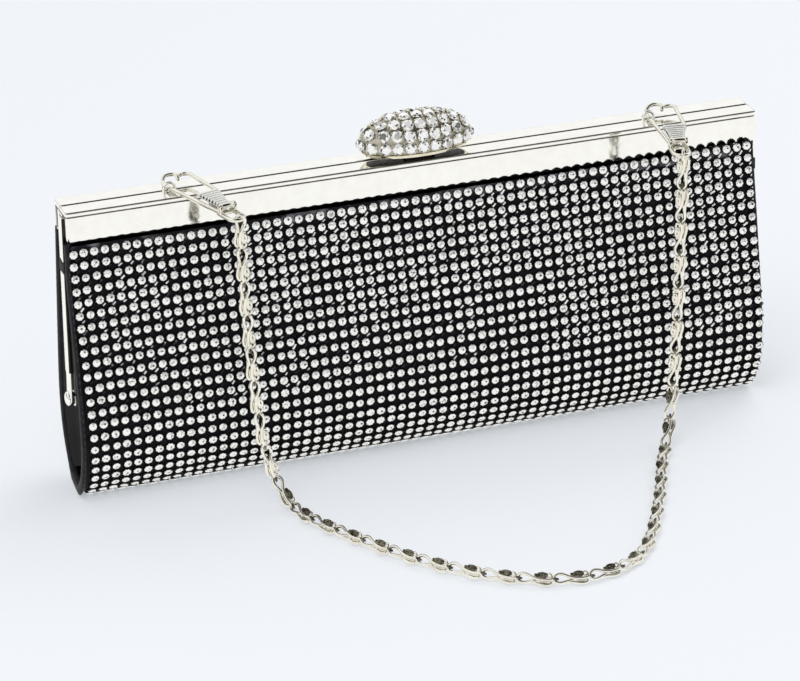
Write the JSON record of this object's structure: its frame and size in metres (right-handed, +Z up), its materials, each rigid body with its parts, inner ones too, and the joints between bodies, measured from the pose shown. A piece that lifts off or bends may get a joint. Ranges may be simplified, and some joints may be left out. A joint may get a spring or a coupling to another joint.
{
  "type": "evening bag",
  "caption": "Hinged-frame evening clutch with a stone-covered black body, a stone-set push knob that releases the frame, and a clip-on chain strap",
  "frame": {"origin": "middle of the standing face, under the middle of the bag", "axes": "+X along the frame to the right as seen from the front, -Y to the front, +Z up"},
  "size_m": [0.2444, 0.15, 0.1166],
  "materials": {
    "nickel": "mirror-polished nickel plate",
    "steel": "plain spring steel",
    "crystal": "clear foil-backed cut stones",
    "cloth": "black satin under a black mesh of stones",
    "binding": "black stitched edge binding",
    "lining": "black satin lining",
    "board": "plain fibreboard"
  },
  "bodies": {
    "front_half": {"front_frame": "nickel", "front_arm_left": "nickel", "front_arm_right": "nickel", "hinge_rivets": "nickel", "hinge_washers": "nickel", "clasp_bracket": "steel", "clasp_pin": "steel", "clasp_spring": "steel", "front_board": "board", "front_cover": "cloth", "base_cover": "cloth", "front_binding": "binding", "base_binding": "binding", "gusset_left": "cloth", "gusset_right": "cloth", "lining": "lining", "arm_loops": "binding", "strap_staples": "nickel", "clip_hook_left": "nickel", "clip_hook_right": "nickel", "clip_pins": "steel", "clip_spring_left": "steel", "clip_spring_right": "steel", "chain_links": "nickel"},
    "back_half": {"back_frame": "nickel", "back_arm_left": "nickel", "back_arm_right": "nickel", "back_board": "board", "back_cover": "cloth", "back_binding": "binding", "catch_spring": "steel"},
    "clasp": {"clasp_lever": "steel", "knob_base": "nickel", "knob_shell": "nickel", "knob_stones": "crystal"},
    "gate_left": {"clip_gate_left": "nickel"},
    "gate_right": {"clip_gate_right": "nickel"}
  },
  "joints": [
    {"name": "frame_hinge", "type": "hinge", "parent": "front_half", "child": "back_half", "pos_m": [0, 0, 0.033], "axis": [-1, 0, 0], "range_deg": [0, 50], "deforming": ["base_cover", "base_binding", "gusset_left", "gusset_right", "lining", "catch_spring"]},
    {"name": "clasp_push", "type": "hinge", "parent": "front_half", "child": "clasp", "pos_m": [0.0015, -0.0043, 0.0974], "axis": [-1, 0, 0], "range_deg": [0, 6], "stiffness_Nm_per_rad": 0.3, "springref_deg": -2.86, "deforming": ["clasp_spring"]},
    {"name": "clip_gate_left", "type": "hinge", "parent": "front_half", "child": "gate_left", "pos_m": [-0.07169, -0.02816, 0.10395], "axis": [0.9659, 0.2588, 0], "range_deg": [0, 25], "stiffness_Nm_per_rad": 0.05, "springref_deg": -5.73, "deforming": ["clip_spring_left"]},
    {"name": "clip_gate_right", "type": "hinge", "parent": "front_half", "child": "gate_right", "pos_m": [0.08264, -0.03064, 0.10395], "axis": [0.9833, -0.1822, 0], "range_deg": [0, 25], "stiffness_Nm_per_rad": 0.05, "springref_deg": -5.73, "deforming": ["clip_spring_right"]}
  ]
}
